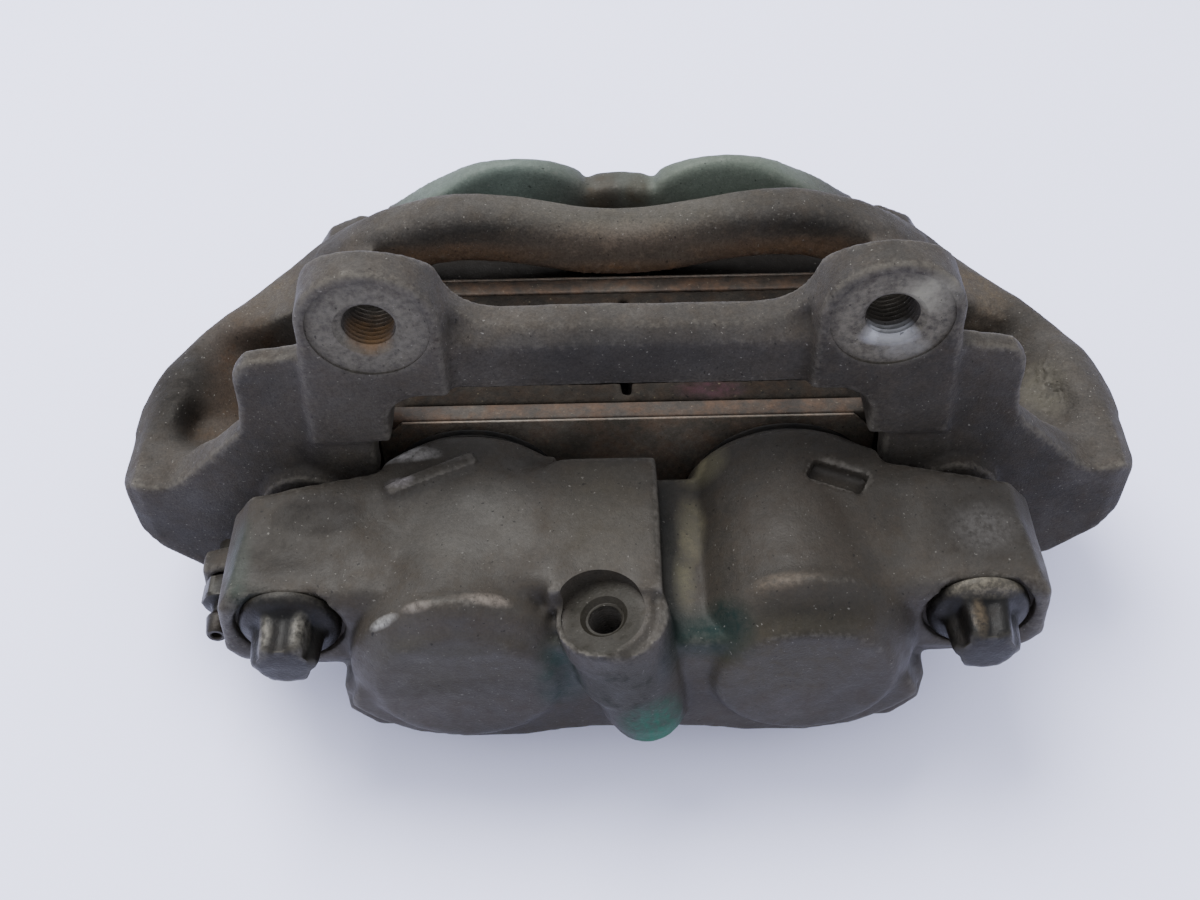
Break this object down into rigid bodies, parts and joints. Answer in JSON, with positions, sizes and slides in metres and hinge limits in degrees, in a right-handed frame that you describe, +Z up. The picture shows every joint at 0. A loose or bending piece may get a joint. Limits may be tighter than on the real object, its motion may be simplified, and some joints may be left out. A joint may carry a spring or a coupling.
{
  "type": "disc brake caliper",
  "caption": "Floating disc brake caliper on its carrier: humped piston housing, lugged bracket with a tie bar over the disc, pads, guide pins with bolts, bleeder screw and hose port.",
  "frame": {"origin": "middle of the assembly's footprint, at the height of the bridge ribs it lies on", "axes": "+X along the disc's travel from the left lug to the right lug, +Y from the inboard (piston) side to the outboard side along the wheel's axle, +Z up towards the hub with the caliper lying on its bridge"},
  "size_m": [0.2928, 0.1766, 0.1458],
  "materials": {
    "cast_iron": "cast, brown-grey with old grime",
    "cast_aluminium": "cast, weathered, traces of old paint",
    "pressed_steel": "stamped, brown with rust",
    "bolt_steel": "dark, dull",
    "plated_steel": "ground smooth",
    "spring_steel": "thin bright sheet",
    "friction_mix": "rough pressed friction material",
    "soft_rubber": "moulded, dull"
  },
  "bodies": {
    "bracket": {"bracket": "cast_iron", "clip_inner_left": "spring_steel", "clip_inner_right": "spring_steel", "clip_outer_left": "spring_steel", "clip_outer_right": "spring_steel"},
    "housing": {"housing": "cast_aluminium", "guide_pin_left": "plated_steel", "guide_pin_right": "plated_steel", "guide_bolt_left": "bolt_steel", "guide_bolt_right": "bolt_steel", "guide_pin_boot_left": "soft_rubber", "guide_pin_boot_right": "soft_rubber", "piston_seal_left": "soft_rubber", "piston_seal_right": "soft_rubber", "piston_boot_left": "soft_rubber", "piston_boot_right": "soft_rubber"},
    "piston_left": {"piston_left": "plated_steel"},
    "piston_right": {"piston_right": "plated_steel"},
    "bleeder": {"bleeder_screw": "bolt_steel"},
    "inner_pad": {"pad_plate_inner": "pressed_steel", "pad_lining_inner": "friction_mix", "pad_shim_inner": "spring_steel"},
    "outer_pad": {"pad_plate_outer": "pressed_steel", "pad_lining_outer": "friction_mix", "pad_shim_outer": "spring_steel"}
  },
  "joints": [
    {"name": "housing_slide", "type": "slide", "parent": "bracket", "child": "housing", "axis": [0, -1, 0], "range_m": [-0.0035, 0.0055], "deforming": ["guide_pin_boot_left", "guide_pin_boot_right"]},
    {"name": "inner_pad_slide", "type": "slide", "parent": "bracket", "child": "inner_pad", "axis": [0, 1, 0], "range_m": [-0.0035, 0.0055]},
    {"name": "outer_pad_slide", "type": "slide", "parent": "bracket", "child": "outer_pad", "axis": [0, -1, 0], "range_m": [-0.0035, 0.0055]},
    {"name": "piston_left_slide", "type": "slide", "parent": "housing", "child": "piston_left", "axis": [0, 1, 0], "range_m": [-0.007, 0.011], "deforming": ["piston_boot_left"]},
    {"name": "piston_right_slide", "type": "slide", "parent": "housing", "child": "piston_right", "axis": [0, 1, 0], "range_m": [-0.007, 0.011], "deforming": ["piston_boot_right"]},
    {"name": "bleeder_turn", "type": "hinge", "parent": "housing", "child": "bleeder", "pos_m": [-0.115, -0.04065, 0.0445], "axis": [0, 1, 0], "range_deg": [0, 270]}
  ],
  "couplings": [
    {"joint": "inner_pad_slide", "follows": "housing_slide", "ratio": 1},
    {"joint": "outer_pad_slide", "follows": "housing_slide", "ratio": 1},
    {"joint": "piston_left_slide", "follows": "housing_slide", "ratio": 2},
    {"joint": "piston_right_slide", "follows": "housing_slide", "ratio": 2}
  ]
}
